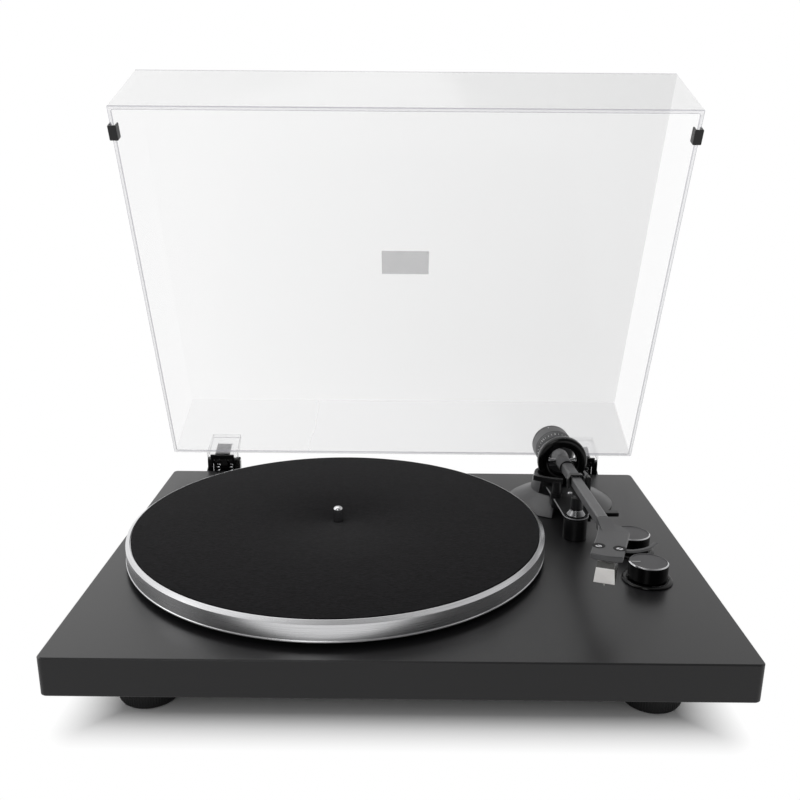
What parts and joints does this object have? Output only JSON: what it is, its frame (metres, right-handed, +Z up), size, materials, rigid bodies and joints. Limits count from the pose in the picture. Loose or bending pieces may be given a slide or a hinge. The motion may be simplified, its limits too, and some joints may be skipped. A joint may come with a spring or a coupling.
{
  "type": "turntable",
  "caption": "Belt-drive turntable with a flat plinth, round platter, straight tonearm on a ring-shaped gimbal, two round knobs and a clear hinged cover standing open.",
  "frame": {"origin": "on the surface that the feet stand on, below the middle of the whole part's box with the cover open", "axes": "+X to the right seen from the front, +Y to the back where the cover's hinges are, +Z up"},
  "size_m": [0.42, 0.403, 0.3862],
  "materials": {
    "plinth_shell": "satin",
    "under_plate": "matte",
    "foot_rubber": "matte",
    "motor_steel": "satin",
    "brass": "polished",
    "belt_rubber": "matte",
    "board": "satin",
    "black_plastic": "satin",
    "black_gloss": "gloss",
    "platter_aluminium": "satin",
    "mat_felt": "matte",
    "chrome": "polished",
    "clear_acrylic": "gloss",
    "arm_aluminium": "satin",
    "weight_iron": "satin",
    "skirt_plastic": "satin",
    "cartridge_plastic": "gloss"
  },
  "bodies": {
    "chassis": {"plinth": "plinth_shell", "bottom_plate": "under_plate", "foot_front_left": "foot_rubber", "foot_front_right": "foot_rubber", "foot_rear_left": "foot_rubber", "foot_rear_right": "foot_rubber", "drive_motor": "motor_steel", "drive_belt": "belt_rubber", "bearing_housing": "brass", "speed_switch": "black_plastic", "power_switch": "black_plastic", "speed_bezel": "black_gloss", "power_bezel": "black_gloss", "circuit_board": "board", "terminal_plate": "black_plastic", "phono_jacks": "brass", "ground_post": "chrome", "power_inlet": "black_plastic", "arm_skirt": "skirt_plastic", "arm_pillar": "black_plastic", "turret": "black_plastic", "turret_nut": "chrome", "arm_rest": "black_plastic", "clip_post": "black_plastic", "hinge_bracket_left": "black_gloss", "hinge_pin_left": "motor_steel", "hinge_spring_left_outer": "motor_steel", "hinge_spring_left_inner": "motor_steel", "hinge_bracket_right": "black_gloss", "hinge_pin_right": "motor_steel", "hinge_spring_right_outer": "motor_steel", "hinge_spring_right_inner": "motor_steel"},
    "platter_assembly": {"sub_platter": "black_plastic", "spindle": "chrome", "platter": "platter_aluminium", "platter_mat": "mat_felt"},
    "pulley": {"motor_pulley": "brass"},
    "speed_control": {"speed_knob": "black_gloss"},
    "power_control": {"power_knob": "black_gloss"},
    "cover": {"dust_cover": "clear_acrylic", "cover_socket_left": "clear_acrylic", "cover_socket_right": "clear_acrylic", "cover_bumper_left": "foot_rubber", "cover_bumper_right": "foot_rubber", "hinge_tongue_left": "black_plastic", "hinge_tongue_right": "black_plastic"},
    "arm_carrier": {"gimbal_ring": "black_gloss", "pivot_pin_left": "chrome", "pivot_pin_right": "chrome"},
    "arm": {"arm_hub": "arm_aluminium", "arm_tube": "arm_aluminium", "arm_collar": "black_plastic", "headshell": "arm_aluminium", "cartridge": "cartridge_plastic", "stylus": "black_plastic"},
    "balance_weight": {"counterweight": "weight_iron"},
    "scale_ring": {"force_dial": "black_plastic"},
    "lever": {"cue_lever": "black_plastic"},
    "lifter": {"lift_bar": "black_plastic"}
  },
  "joints": [
    {"name": "platter_spin", "type": "hinge", "parent": "chassis", "child": "platter_assembly", "pos_m": [-0.0473, -0.03679, 0.056], "axis": [0, 0, 1], "continuous": true},
    {"name": "pulley_spin", "type": "hinge", "parent": "chassis", "child": "pulley", "pos_m": [-0.11447, 0.03039, 0.0526], "axis": [0, 0, 1], "continuous": true},
    {"name": "speed_knob_turn", "type": "hinge", "parent": "chassis", "child": "speed_control", "pos_m": [0.169, -0.09379, 0.054], "axis": [0, 0, -1], "range_deg": [0, 60]},
    {"name": "power_knob_turn", "type": "hinge", "parent": "chassis", "child": "power_control", "pos_m": [0.169, -0.04479, 0.054], "axis": [0, 0, -1], "range_deg": [0, 45]},
    {"name": "cover_hinge", "type": "hinge", "parent": "chassis", "child": "cover", "pos_m": [0, 0.13251, 0.0532], "axis": [-1, 0, 0], "range_deg": [-68.5, 0]},
    {"name": "arm_swing", "type": "hinge", "parent": "chassis", "child": "arm_carrier", "pos_m": [0.1334, 0.05521, 0.0819], "axis": [0, 0, -1], "range_deg": [0, 45]},
    {"name": "arm_pitch", "type": "hinge", "parent": "arm_carrier", "child": "arm", "pos_m": [0.1334, 0.05521, 0.0819], "axis": [-1, 0, 0], "range_deg": [-2.3, 4]},
    {"name": "counterweight_turn", "type": "hinge", "parent": "arm", "child": "balance_weight", "pos_m": [0.1334, 0.05521, 0.0819], "axis": [0, -0.9979, 0.0649], "continuous": true},
    {"name": "dial_turn", "type": "hinge", "parent": "arm", "child": "scale_ring", "pos_m": [0.1334, 0.05521, 0.0819], "axis": [0, -0.9979, 0.0649], "continuous": true},
    {"name": "cue_lever_turn", "type": "hinge", "parent": "chassis", "child": "lever", "pos_m": [0.144, -0.00779, 0.0599], "axis": [0, 1, 0], "range_deg": [0, 25]},
    {"name": "lift_travel", "type": "slide", "parent": "chassis", "child": "lifter", "axis": [0, 0, 1], "range_m": [-0.005, 0]}
  ],
  "couplings": [
    {"joint": "pulley_spin", "follows": "platter_spin", "ratio": 10.909},
    {"joint": "cue_lever_turn", "follows": "lift_travel", "rad_per_m": -87.26}
  ]
}
